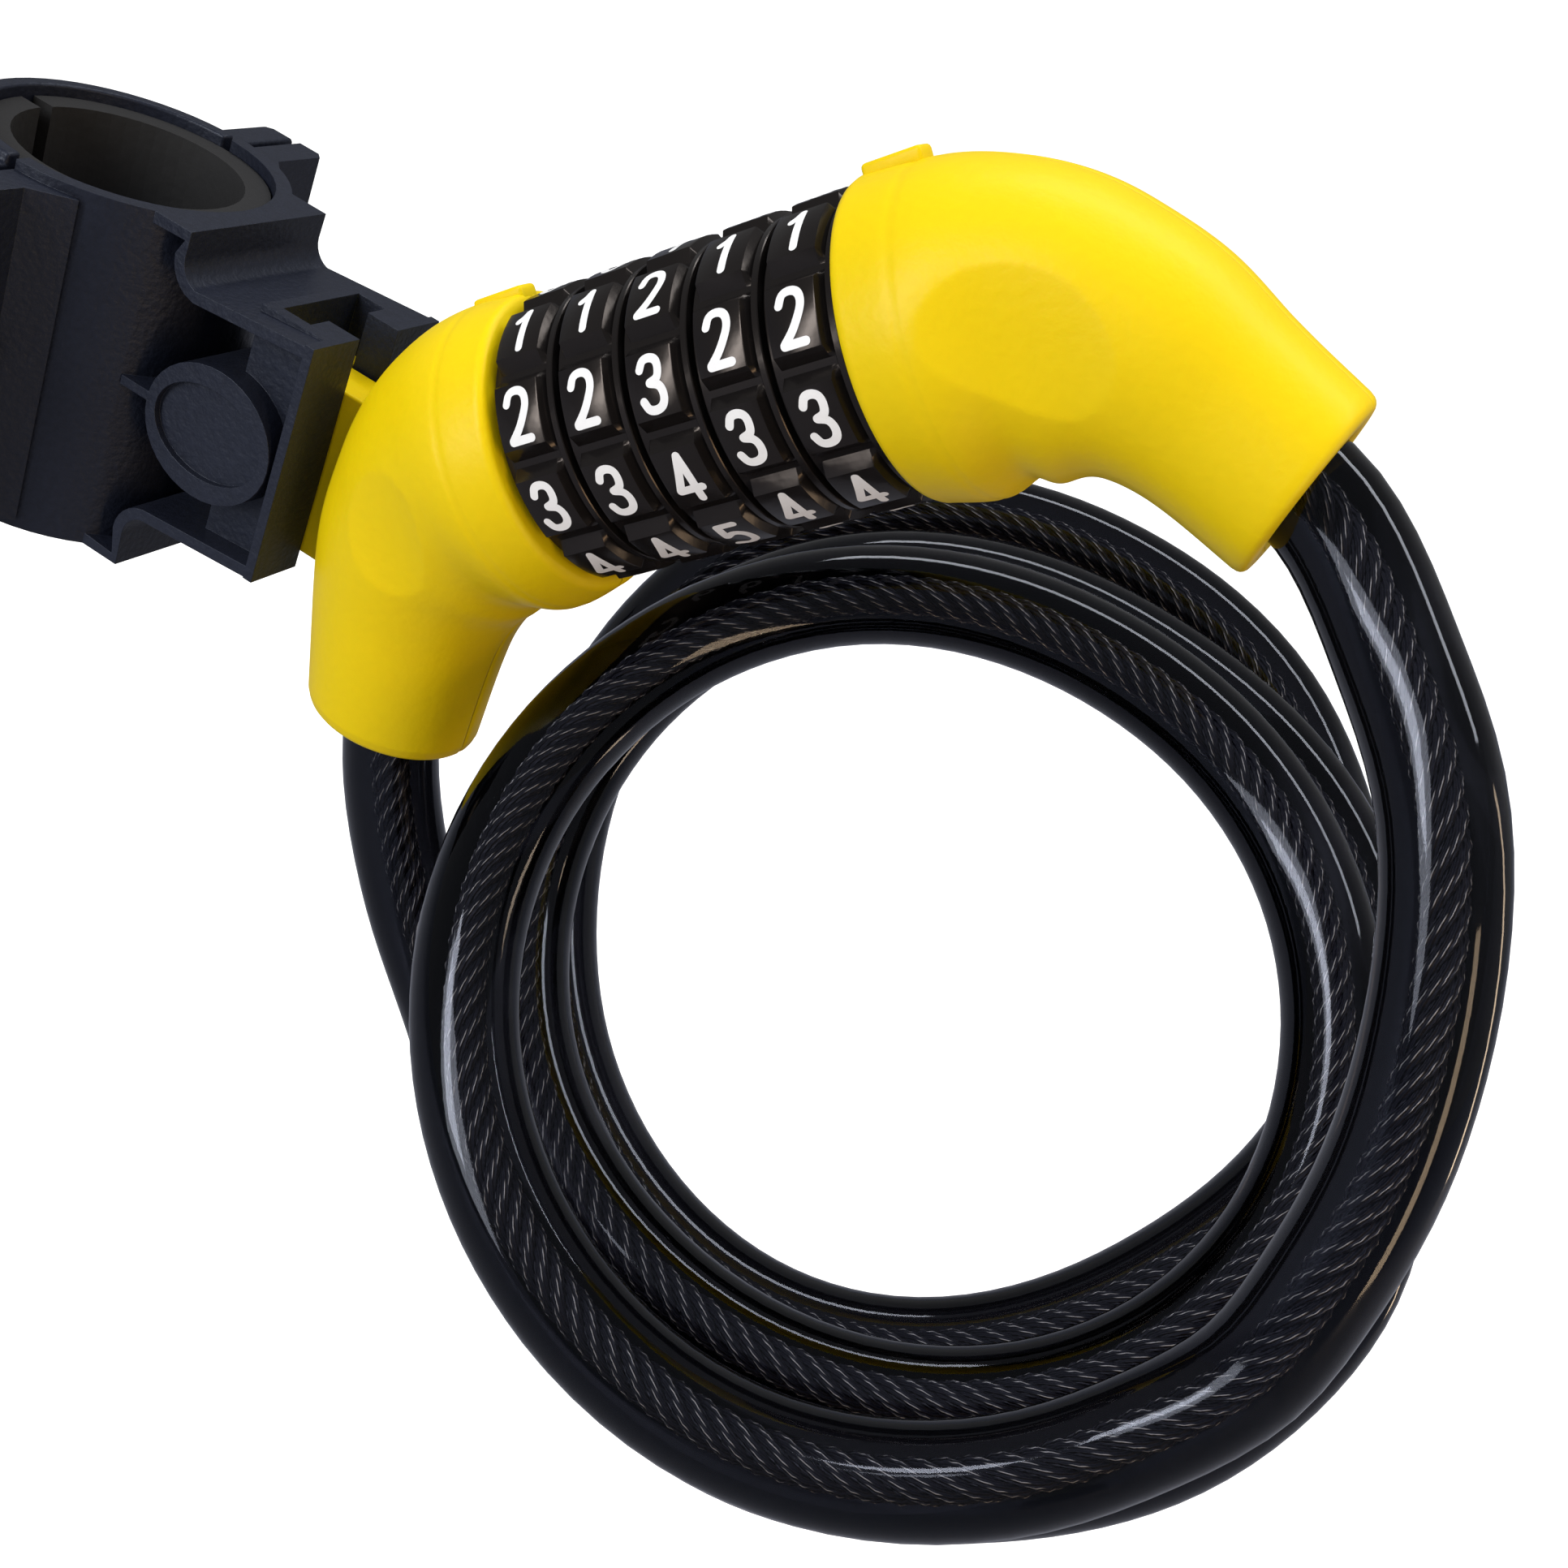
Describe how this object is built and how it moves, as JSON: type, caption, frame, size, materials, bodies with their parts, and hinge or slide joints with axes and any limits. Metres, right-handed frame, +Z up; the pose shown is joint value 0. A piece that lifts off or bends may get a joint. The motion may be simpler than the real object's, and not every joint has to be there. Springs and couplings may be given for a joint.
{
  "type": "coil cable lock",
  "caption": "Coiled vinyl-covered steel cable lock with a combination dial barrel, hanging from a seat-post clamp bracket by a slide-in tongue.",
  "frame": {"origin": "on the seat post's axis, half way up the clamp's bore", "axes": "+Z up along the seat post, +X from the post towards the lock, +Y towards the back"},
  "size_m": [0.2133, 0.1342, 0.1543],
  "materials": {
    "yellow_plastic": "fine satin grain, moulded",
    "black_plastic": "fine-grained blue-black moulded plastic",
    "dial_black": "glossy black moulding with white numerals",
    "cable_vinyl": "smoky dark clear vinyl over a twisted steel rope",
    "liner_rubber": "matte black rubber",
    "steel": "plain zinc-plated steel",
    "brass": "turned brass"
  },
  "bodies": {
    "bracket": {"bracket_body": "black_plastic", "clamp_strap": "black_plastic", "clamp_screw_front": "steel", "clamp_screw_back": "steel", "clamp_nut_front": "steel", "clamp_nut_back": "steel", "post_liner": "liner_rubber"},
    "pin_end": {"left_shell_front": "yellow_plastic", "left_shell_back": "yellow_plastic", "left_tongue": "yellow_plastic", "left_ferrule": "brass", "left_cross_pin": "steel", "lock_pin": "steel", "cable_left": "cable_vinyl"},
    "lock_body": {"right_shell_front": "yellow_plastic", "right_shell_back": "yellow_plastic", "right_ferrule": "brass", "right_cross_pin": "steel", "barrel": "steel", "detent_strip": "steel", "barrel_clip": "steel", "cable_right": "cable_vinyl", "cable_coil": "cable_vinyl"},
    "dial_1_turning": {"dial_1": "dial_black", "code_wheel_1": "brass"},
    "dial_2_turning": {"dial_2": "dial_black", "code_wheel_2": "brass"},
    "dial_3_turning": {"dial_3": "dial_black", "code_wheel_3": "brass"},
    "dial_4_turning": {"dial_4": "dial_black", "code_wheel_4": "brass"},
    "dial_5_turning": {"dial_5": "dial_black", "code_wheel_5": "brass"}
  },
  "joints": [
    {"name": "bracket_slide", "type": "slide", "parent": "bracket", "child": "pin_end", "axis": [0, 0, 1], "range_m": [0, 0.036]},
    {"name": "lock_pull", "type": "slide", "parent": "pin_end", "child": "lock_body", "axis": [0.7373, 0, 0.6756], "range_m": [0, 0.045]},
    {"name": "dial_1_turn", "type": "hinge", "parent": "lock_body", "child": "dial_1_turning", "pos_m": [0.0676, 0, 0.0192], "axis": [0.7373, 0, 0.6756], "continuous": true},
    {"name": "dial_2_turn", "type": "hinge", "parent": "lock_body", "child": "dial_2_turning", "pos_m": [0.0676, 0, 0.0192], "axis": [0.7373, 0, 0.6756], "continuous": true},
    {"name": "dial_3_turn", "type": "hinge", "parent": "lock_body", "child": "dial_3_turning", "pos_m": [0.0676, 0, 0.0192], "axis": [0.7373, 0, 0.6756], "continuous": true},
    {"name": "dial_4_turn", "type": "hinge", "parent": "lock_body", "child": "dial_4_turning", "pos_m": [0.0676, 0, 0.0192], "axis": [0.7373, 0, 0.6756], "continuous": true},
    {"name": "dial_5_turn", "type": "hinge", "parent": "lock_body", "child": "dial_5_turning", "pos_m": [0.0676, 0, 0.0192], "axis": [0.7373, 0, 0.6756], "continuous": true}
  ]
}
